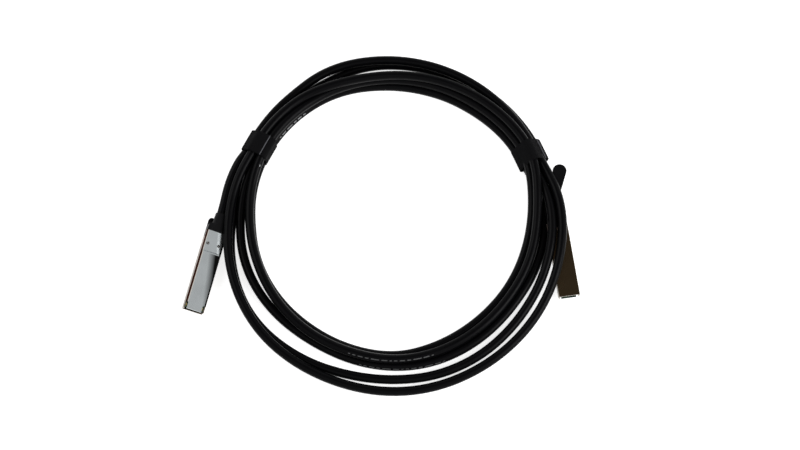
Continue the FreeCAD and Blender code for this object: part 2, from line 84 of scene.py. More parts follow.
# The long way round the open side, where the strands fan out: (angle, radius, height) in degrees and
# millimetres
INNER_FLOOR = [
    (10, 127.0, 12.6), (0, 125.8, 7.0), (-10, 124.0, 4.5), (-20, 123.3, 4.0),
    (-45, 123.2, 4.0), (-60, 124.1, 4.0), (-75, 126.3, 4.0), (-90, 128.9, 4.0), (-105, 126.8, 4.0),
    (-125, 124.5, 4.0), (-160, 123.6, 4.0), (-180, 121.9, 4.0), (-190, 123.4, 4.0), (-200, 123.7, 4.5),
]
SECOND_FLOOR = [
    (10, 133.0, 4.0), (0, 134.9, 4.0), (-10, 137.4, 4.0), (-20, 137.0, 4.0), (-40, 135.2, 4.0),
    (-60, 137.5, 4.0), (-75, 138.9, 4.0), (-90, 138.1, 4.0), (-105, 135.5, 4.0), (-122, 132.7, 4.0),
    (-150, 134.3, 4.0), (-160, 134.3, 4.0), (-172, 133.2, 4.0), (-180, 131.2, 6.0), (-190, 130.4, 8.6),
    (-200, 129.0, 10.8),
]
INNER_RAISED = [
    (10, 131.7, 18.7), (0, 129.5, 14.3), (-10, 129.0, 10.9), (-20, 129.3, 9.3),
    (-40, 129.0, 9.1), (-60, 130.8, 8.3), (-75, 132.5, 8.9), (-90, 133.4, 10.5), (-105, 130.9, 10.9),
    (-130, 128.4, 10.8), (-145, 126.4, 11.7), (-160, 124.1, 12.0), (-180, 122.9, 12.0),
    (-190, 123.4, 12.8), (-200, 124.0, 16.3),
]
OUTER_FLOOR = [
    (10, 137.4, 12.6), (0, 141.1, 15.4), (-10, 143.6, 15.4), (-20, 144.7, 12.4),
    (-30, 145.8, 7.0), (-40, 146.5, 4.6), (-50, 147.9, 4.0), (-60, 149.6, 4.0), (-75, 150.7, 4.0),
    (-90, 149.3, 4.0), (-105, 148.8, 4.0), (-120, 150.7, 4.0), (-140, 152.1, 4.0), (-150, 150.6, 4.0),
    (-160, 146.9, 4.0), (-170, 143.0, 4.0), (-180, 138.6, 4.0), (-190, 136.8, 4.0), (-200, 134.0, 4.4),
]
OUTERMOST = [
    (10, 145.8, 15.9), (0, 149.9, 17.4), (-10, 152.4, 16.2), (-20, 154.0, 14.4),
    (-30, 156.6, 10.4), (-40, 157.5, 5.4), (-50, 158.3, 4.0), (-60, 158.9, 4.0), (-75, 160.1, 4.0),
    (-90, 160.1, 4.0), (-105, 158.4, 5.5), (-120, 157.4, 9.8), (-130, 156.8, 11.2), (-140, 155.0, 12.0),
    (-150, 151.8, 12.0), (-160, 148.2, 12.0), (-170, 144.4, 12.0), (-180, 140.9, 12.0),
    (-190, 138.6, 12.2), (-200, 135.6, 15.4),
]

# The cable's way from the first plug to the second: (left slot, right slot, open side after it).
# The last pass leaves the right tie for the second plug.
PASSES = [
    ("d", "e", OUTERMOST), ("f", "f", INNER_RAISED), ("e", "d", INNER_FLOOR),
    ("a", "a", SECOND_FLOOR), ("c", "b", OUTER_FLOOR), ("b", "c", None),
]
# Degrees from one control point of the coil to the next
TURN_STEP = 10.0

# The two leads, from inside each boot to the coil, in metres
LEAD_A = [(-0.14141, 0.01495, 0.00874), (-0.13620, 0.03322, 0.00874), (-0.1315, 0.0550, 0.0094),
          (-0.1227, 0.0746, 0.0110)]
LEAD_B = [(0.15515, 0.01957, 0.00475), (0.15368, 0.03350, 0.00475), (0.1513, 0.0483, 0.0048),
          (0.1470, 0.0624, 0.0049)]


# ---------------------------------------------------------------- small tools

def select_only(obj):
    """Selects one object alone and makes it active."""
    bpy.ops.object.select_all(action="DESELECT")
    obj.select_set(True)
    bpy.context.view_layer.objects.active = obj


def active_as(name):
    """The active object, which an operator has just made, under its new name."""
    obj = bpy.context.view_layer.objects.active
    obj.name = name
    return obj


def set_material(obj, material):
    obj.data.materials.clear()
    obj.data.materials.append(material)


# ---------------------------------------------------------------- materials

def new_material(name):
    """A material with its nodes, its links and its shader."""
    material = bpy.data.materials.new(name)
    material.use_nodes = True
    nodes = material.node_tree.nodes
    return material, nodes, material.node_tree.links, nodes["Principled BSDF"]


def node_group(name, inputs, outputs):
    """A shader group from (label, kind, default) inputs and (label, kind) outputs."""
    group = bpy.data.node_groups.new(name, "ShaderNodeTree")
    for label, kind, default in inputs:
        socket = group.interface.new_socket(label, in_out="INPUT", socket_type=kind)
        socket.default_value = default
    for label, kind in outputs:
        group.interface.new_socket(label, in_out="OUTPUT", socket_type=kind)
    return group, group.nodes.new("NodeGroupInput"), group.nodes.new("NodeGroupOutput")


def add_math(tree, operation, *values):
    """A math node whose inputs are numbers or other nodes' outputs."""
    node = tree.nodes.new("ShaderNodeMath")
    node.operation = operation
    for socket, value in zip(node.inputs, values):
        if isinstance(value, (int, float)):
            socket.default_value = value
        else:
            tree.links.new(value, socket)
    return node.outputs[0]


def add_noise(group, vector, scale, detail=2.0):
    """A noise whose scale is a number or another node's output."""
    node = group.nodes.new("ShaderNodeTexNoise")
    node.inputs["Detail"].default_value = detail
    if isinstance(scale, (int, float)):
        node.inputs["Scale"].default_value = scale
    else:
        group.links.new(scale, node.inputs["Scale"])
    group.links.new(vector, node.inputs["Vector"])
    return node.outputs["Fac"]


def add_limits(group, value):
    """The value, kept between 0 and 1."""
    return add_math(group, "MINIMUM", add_math(group, "MAXIMUM", value, 0.0), 1.0)


def fine_grain_group():
    """A moulded or cast grain: a height for bump, and a roughness that drifts over the surface."""
    name = "fine_grain"
    if name in bpy.data.node_groups:
        return bpy.data.node_groups[name]
    group, start, end = node_group(
        name,
        [("Scale", "NodeSocketFloat", 900.0), ("Roughness", "NodeSocketFloat", 0.4),
         ("Spread", "NodeSocketFloat", 0.1)],
        [("Height", "NodeSocketFloat"), ("Roughness", "NodeSocketFloat"), ("Drift", "NodeSocketFloat")],
    )
    place = group.nodes.new("ShaderNodeTexCoord").outputs["Object"]
    fine = add_noise(group, place, start.outputs["Scale"], 3.0)
    broad = add_noise(group, place, 60.0)
    centred = add_math(group, "SUBTRACT", broad, 0.5)
    rough = add_math(group, "MULTIPLY_ADD", centred, start.outputs["Spread"], start.outputs["Roughness"])
    group.links.new(fine, end.inputs["Height"])
    group.links.new(rough, end.inputs["Roughness"])
    group.links.new(broad, end.inputs["Drift"])
    return group


WORN_WIDTH = 0.35 * MM


def edge_wear_group():
    """A mask that is 1 along worn edges, broken up so that the wear isn't even."""
    name = "edge_wear"
    if name in bpy.data.node_groups:
        return bpy.data.node_groups[name]
    group, start, end = node_group(name, [("Amount", "NodeSocketFloat", 0.5)], [("Mask", "NodeSocketFloat")])
    bevel = group.nodes.new("ShaderNodeBevel")
    bevel.samples = 6
    bevel.inputs["Radius"].default_value = WORN_WIDTH
    flat = group.nodes.new("ShaderNodeNewGeometry")
    match = group.nodes.new("ShaderNodeVectorMath")
    match.operation = "DOT_PRODUCT"
    group.links.new(bevel.outputs["Normal"], match.inputs[0])
    group.links.new(flat.outputs["True Normal"], match.inputs[1])
    turned = add_math(group, "SUBTRACT", 1.0, match.outputs["Value"])
    place = group.nodes.new("ShaderNodeTexCoord").outputs["Object"]
    broken = add_math(group, "MULTIPLY_ADD", add_noise(group, place, 700.0, 4.0), 2.0, -0.3)
    strong = add_math(group, "MULTIPLY", turned, 9.0)
    mask = add_math(group, "MULTIPLY", strong, broken)
    scaled = add_math(group, "MULTIPLY", mask, start.outputs["Amount"])
    group.links.new(add_limits(group, scaled), end.inputs["Mask"])
    return group


# How much of a strap's lapped end is sealed, in millimetres
CUT_LENGTH = 0.7


def weave_group():
    """Ribbed webbing on a strap's own map: ribs across, threads along, a fuzzy nap, a painted shade factor
    that darkens the hollows, and the sealed end.
    """
    name = "strap_weave"
    if name in bpy.data.node_groups:
        return bpy.data.node_groups[name]
    group, start, end = node_group(
        name,
        [("Pitch", "NodeSocketFloat", 0.8)],
        [("Height", "NodeSocketFloat"), ("Shade", "NodeSocketFloat"), ("Cut", "NodeSocketFloat")],
    )
    place = group.nodes.new("ShaderNodeUVMap")
    place.uv_map = "strap"
    split = group.nodes.new("ShaderNodeSeparateXYZ")
    group.links.new(place.outputs["UV"], split.inputs[0])
    turns = add_math(group, "DIVIDE", 2.0 * math.pi, start.outputs["Pitch"])
    rib = add_math(group, "SINE", add_math(group, "MULTIPLY", split.outputs["X"], turns))
    thread = add_math(group, "SINE", add_math(group, "MULTIPLY", split.outputs["Y"], turns))
    woven = add_math(group, "MULTIPLY", rib, thread)
    nap = add_noise(group, place.outputs["UV"], 5.0, 4.0)
    height = add_math(group, "MULTIPLY_ADD", woven, 0.35, nap)
    group.links.new(height, end.inputs["Height"])
    group.links.new(add_math(group, "MULTIPLY_ADD", height, 0.7, 0.65), end.inputs["Shade"])
    group.links.new(add_math(group, "LESS_THAN", split.outputs["X"], CUT_LENGTH), end.inputs["Cut"])
    return group


# The first plug's nose in metres, and its heading in degrees
FIRST_NOSE = Vector((-0.1616, -0.0604, 0.0))
FIRST_HEADING = 15.9
# Where the painted reflections and the painted highlight line on its cover begin, in millimetres to the left
# of its middle line
BROWN_REFLECTION_EDGE = 6.9
HIGHLIGHT_LINE_EDGE = 6.3
WALL_REFLECTION_EDGE = -7.4
# The painted dark reflection's edge at the nose, its way across for each millimetre back, and how far back
# it ends
DARK_REFLECTION_EDGE = -6.4
DARK_REFLECTION_SLOPE = 0.15
DARK_REFLECTION_END = 52.4


def cover_painted_light_group():
    """Masks of painted light over the first plug's cover: a painted dark-brown reflection strip, a painted
    highlight line beside it and a painted dark reflection down the other side.
    """
    group, start, end = node_group(
        "cover_tint",
        [("Softness", "NodeSocketFloat", 6.0)],
        [("Strip", "NodeSocketFloat"), ("Line", "NodeSocketFloat"), ("DarkReflection", "NodeSocketFloat")],
    )
    place = group.nodes.new("ShaderNodeTexCoord").outputs["Object"]
    turn = math.radians(FIRST_HEADING)
    backwards = Vector((math.sin(turn), math.cos(turn), 0.0))
    leftwards = Vector((-math.cos(turn), math.sin(turn), 0.0))
    distances = []
    for way in (backwards, leftwards):
        match = group.nodes.new("ShaderNodeVectorMath")
        match.operation = "DOT_PRODUCT"
        match.inputs[1].default_value = way
        group.links.new(place, match.inputs[0])
        origin = -FIRST_NOSE.dot(way) / MM
        distances.append(add_math(group, "MULTIPLY_ADD", match.outputs["Value"], 1.0 / MM, origin))
    back, left = distances
    # Painted light: a dark-brown painted reflection strip, a pale painted highlight line, and a painted dark
    # reflection of the cable beside the plug
    group.links.new(add_math(group, "GREATER_THAN", left, BROWN_REFLECTION_EDGE), end.inputs["Strip"])
    group.links.new(add_math(group, "GREATER_THAN", left, HIGHLIGHT_LINE_EDGE), end.inputs["Line"])
    limit = add_math(group, "MULTIPLY_ADD", back, DARK_REFLECTION_SLOPE, DARK_REFLECTION_EDGE)
    slope = add_math(group, "DIVIDE", add_math(group, "SUBTRACT", limit, left), start.outputs["Softness"])
    ahead = add_math(group, "LESS_THAN", back, DARK_REFLECTION_END)
    panel_reflection = add_math(group, "MULTIPLY", add_limits(group, slope), ahead)
    wall_reflection = add_math(group, "LESS_THAN", left, WALL_REFLECTION_EDGE)
    group.links.new(add_math(group, "MAXIMUM", panel_reflection, wall_reflection), end.inputs["DarkReflection"])
    return group


def add_group(nodes, group, **values):
    """A shared group in a material, with its inputs set."""
    node = nodes.new("ShaderNodeGroup")
    node.node_tree = group
    for socket, value in values.items():
        node.inputs[socket].default_value = value
    return node


def add_bump(nodes, links, height, shader, depth, strength=0.35):
    """Relief from a height, its depth in millimetres."""
    bump = nodes.new("ShaderNodeBump")
    bump.inputs["Strength"].default_value = strength
    bump.inputs["Distance"].default_value = depth * MM
    links.new(height, bump.inputs["Height"])
    links.new(bump.outputs["Normal"], shader.inputs["Normal"])


def mixed_colour(nodes, links, factor, first, second, shader):
    """A mix of two colours by a factor, put on the shader."""
    mix = nodes.new("ShaderNodeMix")
    mix.data_type = "RGBA"
    mix.inputs["A"].default_value = (*first, 1.0)
    mix.inputs["B"].default_value = (*second, 1.0)
    links.new(factor, mix.inputs["Factor"])
    links.new(mix.outputs["Result"], shader.inputs["Base Color"])
    return mix


def grained(name, colour, roughness, metallic=0.0, grain=900.0, depth=0.02, spread=0.1, specular=0.5,
            tint=None, worn=None, wear=0.5):
    """A finish with a fine grain: either its colour drifts towards a tint, or its edges are worn bright."""
    material, nodes, links, shader = new_material(name)
    shader.inputs["Metallic"].default_value = metallic
    shader.inputs["Specular IOR Level"].default_value = specular
    group = add_group(nodes, fine_grain_group(), Scale=grain, Roughness=roughness, Spread=spread)
    if worn:
        mask = add_group(nodes, edge_wear_group(), Amount=wear)
        mixed_colour(nodes, links, mask.outputs["Mask"], colour, worn, shader)
    else:
        drifted = tint or tuple(1.25 * c for c in colour)
        mixed_colour(nodes, links, group.outputs["Drift"], colour, drifted, shader)
    add_bump(nodes, links, group.outputs["Height"], shader, depth)
    links.new(group.outputs["Roughness"], shader.inputs["Roughness"])
    return material


# Settings that finishes share: plated castings and soft mouldings
PLATED = {"metallic": 1.0, "grain": 1600.0, "depth": 0.006, "spread": 0.08}
MOULDED = {"grain": 1800.0, "depth": 0.03, "specular": 0.08}
COVER_ROUGHNESS = 0.24


def cover_with_painted_light(colour):
    """The first plug's cover: satin nickel, with a painted dark-brown reflection along one side, a painted
    highlight line beside it and a painted dark reflection down the other.
    """
    material = grained("satin_nickel_painted_light", colour, roughness=COVER_ROUGHNESS, **PLATED)
    nodes, links = material.node_tree.nodes, material.node_tree.links
    shader = nodes["Principled BSDF"]
    painted_light_masks = add_group(nodes, cover_painted_light_group())
    below = shader.inputs["Base Color"].links[0].from_node
    # Colours of the painted highlight line, the painted brown reflection strip and the painted dark
    # reflection
    painted_light_colours = {"Line": (0.80, 0.78, 0.72), "Strip": (0.05, 0.016, 0.009), "DarkReflection": (0.006, 0.006, 0.006)}
    for mask, tint in painted_light_colours.items():
        mix = mixed_colour(nodes, links, painted_light_masks.outputs[mask], colour, tint, shader)
        links.new(below.outputs["Result"], mix.inputs["A"])
        below = mix
    return material


def webbing(name, colour, pitch):
    """Woven hook-and-loop webbing: threads in relief, painted shade between them, and a paler sealed end."""
    material, nodes, links, shader = new_material(name)
    shader.inputs["Specular IOR Level"].default_value = 0.05
    shader.inputs["Roughness"].default_value = 0.85
    group = add_group(nodes, weave_group(), Pitch=pitch)
    # Painted shade: the hollows between the threads are darkened to 0.3 of the colour
    shaded_hollows = tuple(0.3 * c for c in colour)
    woven = mixed_colour(nodes, links, group.outputs["Shade"], shaded_hollows, colour, shader)
    sealed = mixed_colour(nodes, links, group.outputs["Cut"], colour, (0.10, 0.10, 0.11), shader)
    links.new(woven.outputs["Result"], sealed.inputs["A"])
    add_bump(nodes, links, group.outputs["Height"], shader, depth=0.25, strength=0.8)
    return material


# ---------------------------------------------------------------- cable

def polar(angle, radius, height, half_step=0.0):
    """A point round the coil; a control point of a round curve stands out by the half step."""
    out = radius * MM / math.cos(math.radians(half_step))
    turn = math.radians(angle)
    return COIL_CENTRE + Vector((out * math.cos(turn), out * math.sin(turn), height * MM))


def along(stations, step):
    """Points at an even step of falling angle, read between given stations."""
    slack = 1e-6
    first, last = stations[0][0], stations[-1][0]
    count = round((first - last) / step)
    points = []
    for number in range(count + 1):
        angle = first - (first - last) * number / count
        for (a0, r0, z0), (a1, r1, z1) in zip(stations, stations[1:]):
            if a1 - slack <= angle <= a0 + slack:
                share = (a0 - angle) / (a0 - a1)
                points.append((angle, r0 + (r1 - r0) * share, z0 + (z1 - z0) * share))
                break
    return points


def coil_stations():
    """The whole way round, from where the first lead joins to where the second leaves."""
    stations = []
    for number, (left, right, open_side) in enumerate(PASSES):
        start = 360.0 * -number
        stations.append((start + LEFT_TIE + TIE_REACH, *LEFT_SLOTS[left]))
        stations.append((start + LEFT_TIE - TIE_REACH, *LEFT_SLOTS[left]))
        for angle, place in zip(TIED_ANGLES, TIED_SIDE[(left, right)]):
            stations.append((start + angle, *place))
        stations.append((start + RIGHT_TIE + TIE_REACH, *RIGHT_SLOTS[right]))
        if open_side is None:
            stations.append((start + RIGHT_TIE, *RIGHT_SLOTS[right]))
            break
        stations.append((start + RIGHT_TIE - TIE_REACH, *RIGHT_SLOTS[right]))
        for angle, radius, height in open_side:
            stations.append((start + angle, radius, height))
    return stations


def cable_points():
    """The whole cable's control points: the first lead, the turns and the second lead."""
    turns = [polar(a, r, z, TURN_STEP / 2) for a, r, z in along(coil_stations(), TURN_STEP)]
    return [Vector(p) for p in LEAD_A] + turns + [Vector(p) for p in reversed(LEAD_B)]


def round_cord(name, points, radius):
    """A round cord along a smooth curve that its control points pull into shape."""
    data = bpy.data.curves.new(name, "CURVE")
    data.dimensions = "3D"
    spline = data.splines.new("NURBS")
    spline.points.add(len(points) - 1)
    for point, place in zip(spline.points, points):
        point.co = (*place, 1.0)
    spline.order_u = 3
    spline.use_endpoint_u = True
    data.resolution_u = 4
    data.bevel_depth = radius
    data.bevel_resolution = 6
    obj = bpy.data.objects.new(name, data)
    bpy.context.collection.objects.link(obj)
    return obj


class CableSettings(bpy.types.PropertyGroup):
    diameter: FloatProperty(name="Diameter", description="Outside diameter of the jacket",
                            default=2 * JACKET_RADIUS * MM, min=0.002, unit="LENGTH")
    colour: FloatVectorProperty(name="Jacket colour", description="Colour of the jacket", subtype="COLOR",
                                size=3, default=(0.0018, 0.0018, 0.0022), min=0.0, max=1.0)
    roughness: FloatProperty(name="Jacket roughness", description="How matt the jacket is",
                             default=0.30, min=0.0, max=1.0, subtype="FACTOR")


class CABLE_OT_cable(bpy.types.Operator):
    """Lays the jacketed cable from one plug round the coil to the other"""
    bl_idname = "cable_kit.cable"
    bl_label = "Cable"

    def execute(self, context):
        settings = context.scene.cable_settings
        cable = round_cord("copper_cable", cable_points(), settings.diameter / 2)
        jacket = grained("jacket", settings.colour, settings.roughness, grain=1500.0, depth=0.03,
                         spread=0.12, specular=0.06)
        cable.data.materials.append(jacket)
        cable.data.use_fill_caps = True
        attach(cable, "cable_assembly")
        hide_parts("cable_coil", "cable_lead_a", "cable_lead_b")
        return {"FINISHED"}


# ---------------------------------------------------------------- printed marks

def route_points(cable):
    """The cable's own line, read from its spline with no thickness."""
    line = cable.copy()
    line.data = cable.data.copy()
    line.data.bevel_depth = 0.0
    mesh = bpy.data.meshes.new_from_object(line)
    points = [vertex.co.copy() for vertex in mesh.vertices]
    bpy.data.objects.remove(line)
    bpy.data.meshes.remove(mesh)
    return points


def running_lengths(points):
    """How far along a line each of its points lies."""
    lengths = [0.0]
    for first, second in zip(points, points[1:]):
        lengths.append(lengths[-1] + math.dist(first, second))
    return lengths


def nearest_length(points, lengths, target):
    """How far along the line its nearest point to the target lies."""
    nearest = min(range(len(points)), key=lambda number: (points[number] - target).length)
    return lengths[nearest]


def place_on(points, lengths, distance):
    """The point and direction at a distance along the line."""
    beyond = (number for number, length in enumerate(lengths) if length >= distance)
    number = max(1, next(beyond, len(lengths) - 1))
    span = lengths[number] - lengths[number - 1]
    share = (distance - lengths[number - 1]) / span
    first, second = points[number - 1], points[number]
    return first.lerp(second, share), (second - first).normalized()


def add_dash(name, points, lengths, start, length, width, turn, radius):
    """One printed dash: a grid laid on the jacket, turned round the cable from its top."""
    bpy.ops.object.select_all(action="DESELECT")
    bpy.ops.mesh.primitive_grid_add(x_subdivisions=6, y_subdivisions=2, size=1.0)
    dash = active_as(name)
    for vertex in dash.data.vertices:
        middle, along_it = place_on(points, lengths, start + (vertex.co.x + 0.5) * length)
        up = (Vector((0, 0, 1)) - along_it * along_it.z).normalized()
        side = along_it.cross(up)
        angle = math.radians(turn) + vertex.co.y * width / radius
        vertex.co = middle + (up * math.cos(angle) + side * math.sin(angle)) * radius
    return dash


# Rows of dashes: the strand at (angle, radius, height), how many, the turn inwards from its top in degrees,
# and the ink
MARK_ROWS = [
    (134.5, 124.2, 4.5, 6, 52.0, "ink"), (158.0, 123.8, 17.1, 1, 42.0, "ink"),
    (-92, 133.2, 10.6, 13, -38.0, "faded_ink"), (-88, 138.1, 4.0, 13, -52.0, "faded_ink"),
]
# The dashes' lengths, the gap between them and their radius round the cable, in millimetres
DASH_LENGTHS = (1.8, 5.0, 7.0, 3.2, 4.4, 2.8)
DASH_GAP = 1.9
DASH_RADIUS = JACKET_RADIUS + 0.03


def ink_finish(name, colour):
    """Ink that has rubbed off unevenly."""
    rubbed = tuple(0.4 * c for c in colour)
    return grained(name, colour, roughness=0.6, grain=1500.0, depth=0.01, tint=rubbed)


class MarkSettings(bpy.types.PropertyGroup):
    width: FloatProperty(name="Width", description="Width of a printed dash", default=0.0009,
                         min=0.0002, unit="LENGTH")
    colour: FloatVectorProperty(name="Ink colour", description="Colour of the printed dashes",
                                subtype="COLOR", size=3, default=(0.34, 0.35, 0.36), min=0.0, max=1.0)


class CABLE_OT_marks(bpy.types.Operator):
    """Prints rows of plain dashes on the jacket"""
    bl_idname = "cable_kit.marks"
    bl_label = "Jacket marks"

    def execute(self, context):
        settings = context.scene.mark_settings
        points = route_points(bpy.data.objects["copper_cable"])
        lengths = running_lengths(points)
        inks = {
            "ink": ink_finish("ink", settings.colour),
            "faded_ink": ink_finish("faded_ink", tuple(0.25 * c for c in settings.colour)),
        }
        dashes = []
        for row, (angle, radius, height, count, turn, ink) in enumerate(MARK_ROWS):
            middle = nearest_length(points, lengths, polar(angle, radius, height))
            pattern = [DASH_LENGTHS[number % len(DASH_LENGTHS)] for number in range(count)]
            start = middle - (sum(pattern) + DASH_GAP * (count - 1)) / 2 * MM
            for number, length in enumerate(pattern):
                dash = add_dash("dash_%d_%d" % (row, number), points, lengths, start, length * MM,
                                settings.width, turn, DASH_RADIUS * MM)
                set_material(dash, inks[ink])
                dashes.append(dash)
                start += (length + DASH_GAP) * MM
        bpy.ops.object.select_all(action="DESELECT")
        for dash in dashes:
            dash.select_set(True)
        bpy.context.view_layer.objects.active = dashes[0]
        bpy.ops.object.join()
        marks = active_as("jacket_marks")
        bpy.ops.object.shade_smooth()
        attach(marks, "cable_assembly")
        return {"FINISHED"}


# ---------------------------------------------------------------- ties

CIRCLE_STEPS = 48


def hull(circles, radius):
    """Points round a bundle of circles, as a band pulled tight round them would lie."""
    spots = []
    for x, z in circles:
        for number in range(CIRCLE_STEPS):
            angle = math.tau * number / CIRCLE_STEPS
            spots.append((x + radius * math.cos(angle), z + radius * math.sin(angle)))
    spots.sort()

    def half(ordered):
        kept = []
        for spot in ordered:
            while len(kept) > 1 and ((kept[-1][0] - kept[-2][0]) * (spot[1] - kept[-2][1])
                                     - (kept[-1][1] - kept[-2][1]) * (spot[0] - kept[-2][0])) <= 0:
                kept.pop()
            kept.append(spot)
        return kept[:-1]

    return half(spots) + half(spots[::-1])


def closed_path(corners, count):
    """That many points at an even spacing round a closed outline, and the way round it."""
    loop = corners + [corners[0]]
    lengths = running_lengths(loop)
    path = []
    step = 0
    for number in range(count):
        wanted = lengths[-1] * number / count
        while lengths[step + 1] < wanted:
            step += 1
        share = (wanted - lengths[step]) / (lengths[step + 1] - lengths[step])
        (x0, z0), (x1, z1) = loop[step], loop[step + 1]
        path.append((x0 + (x1 - x0) * share, z0 + (z1 - z0) * share))
    return path, lengths[-1]


# Steps round each strap's first turn, on over its lap, and across its width
STRAP_STEPS = 120
STRAP_OVERLAP = {"left": 38, "right": 14}
STRAP_ACROSS = 8
# In millimetres: the gap to the jackets, the lap's rise over the first turn, the lowest that a strap lies,
# and how far its middle stands out
STRAP_GAP = 0.35
LAP_RISE = 1.05
STRAP_FLOOR = 0.95
STRAP_CROWN = 0.075
# Steps over which the lap rises
RISE_STEPS = 5.0


def strap_spot(slots, number):
    """A point of the strap's inner face: tight on the first turn, a thickness out on the second."""
    risen = min(1.0, max(0.0, (number - STRAP_STEPS) / RISE_STEPS))
    path, length = closed_path(hull(slots, JACKET_RADIUS + STRAP_GAP + LAP_RISE * risen), STRAP_STEPS)
    outermost = max(range(STRAP_STEPS), key=lambda step: path[step][0])
    x, z = path[(number + outermost) % STRAP_STEPS]
    return x, max(z, STRAP_FLOOR), length


def thicken(sheet, thickness):
    """Gives the active sheet its thickness, outwards, and rounds its edges."""
    solid = sheet.modifiers.new("thickness", "SOLIDIFY")
    solid.thickness = thickness
    solid.offset = 1.0
    bpy.ops.object.modifier_apply(modifier=solid.name)
    edge = sheet.modifiers.new("edge", "BEVEL")
    edge.width = thickness * 0.3
    edge.segments = 2
    edge.limit_method = "ANGLE"
    edge.angle_limit = math.radians(50)
    bpy.ops.object.modifier_apply(modifier=edge.name)
    bpy.ops.object.shade_smooth_by_angle(angle=math.radians(40))


def add_strap(name, tie_angle, slots, width, thickness, node, overlap):
    """One length of webbing wound once round the bundle and lapped over itself at the outer side."""
    turn = math.radians(tie_angle)
    out = Vector((math.cos(turn), math.sin(turn), 0.0))
    across = Vector((-math.sin(turn), math.cos(turn), 0.0))
    bpy.ops.object.select_all(action="DESELECT")
    count = STRAP_STEPS + overlap
    bpy.ops.mesh.primitive_grid_add(x_subdivisions=count, y_subdivisions=STRAP_ACROSS, size=1.0)
    strap = active_as(name)
    spots = [strap_spot(slots, number) for number in range(count + 1)]
    layer = strap.data.uv_layers.active or strap.data.uv_layers.new(name="strap")
    layer.name = "strap"
    mapped = {}
    for vertex in strap.data.vertices:
        number = round((vertex.co.x + 0.5) * count)
        share = vertex.co.y
        x, z, length = spots[number]
        crown = STRAP_CROWN * (1.0 - (2.0 * share) ** 2)
        place = COIL_CENTRE + out * (x + crown) * MM + across * share * width
        vertex.co = place + Vector((0, 0, z * MM))
        from_end = (count - number) * length / STRAP_STEPS
        mapped[vertex.index] = (from_end, share * width / MM)
    for loop in strap.data.loops:
        layer.data[loop.index].uv = mapped[loop.vertex_index]
    select_only(strap)
    bpy.ops.object.mode_set(mode="EDIT")
    bpy.ops.mesh.select_all(action="SELECT")
    bpy.ops.mesh.normals_make_consistent(inside=False)
    bpy.ops.object.mode_set(mode="OBJECT")
    thicken(strap, thickness)
    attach(strap, "cable_assembly")
    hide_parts(node)
    return strap


class StrapSettings(bpy.types.PropertyGroup):
    width: FloatProperty(name="Width", description="Width of the webbing", default=0.0198, min=0.005,
                         unit="LENGTH")
    thickness: FloatProperty(name="Thickness", description="Thickness of the webbing", default=0.0009,
                             min=0.0003, unit="LENGTH")
    pitch: FloatProperty(name="Weave pitch", description="Spacing of the threads, in millimetres",
                         default=0.9, min=0.2)
    colour: FloatVectorProperty(name="Webbing colour", description="Colour of the straps", subtype="COLOR",
                                size=3, default=(0.0045, 0.0045, 0.005), min=0.0, max=1.0)


class CABLE_OT_straps(bpy.types.Operator):
    """Wraps a hook-and-loop strap round the coil at each tie"""
    bl_idname = "cable_kit.straps"
    bl_label = "Tie straps"

    def execute(self, context):
        settings = context.scene.strap_settings
        material = webbing("strap_webbing", settings.colour, settings.pitch)
        ties = {"left": (LEFT_TIE, LEFT_SLOTS), "right": (RIGHT_TIE, RIGHT_SLOTS)}
        for side, (angle, slots) in ties.items():
            strap = add_strap("strap_" + side, angle, list(slots.values()), settings.width,
                              settings.thickness, "tie_strap_" + side, STRAP_OVERLAP[side])
            set_material(strap, material)
        return {"FINISHED"}


# ---------------------------------------------------------------- finishes of the CAD pieces

class FinishSettings(bpy.types.PropertyGroup):
    cover: FloatVectorProperty(name="Cover", description="Colour of the satin nickel covers",
                               subtype="COLOR", size=3, default=(0.46, 0.49, 0.50), min=0.0, max=1.0)
    # The housing bases' dark bronze tone is a painted reflection: the dark brown that the second plug's face
    # reflects, put into the colour
    base: FloatVectorProperty(name="Base", description="Colour of the bronze-toned housings",
                              subtype="COLOR", size=3, default=(0.125, 0.092, 0.052), min=0.0, max=1.0)
    moulding: FloatVectorProperty(name="Moulding", description="Colour of the tab and boot",
                                  subtype="COLOR", size=3, default=(0.003, 0.003, 0.0035), min=0.0, max=1.0)


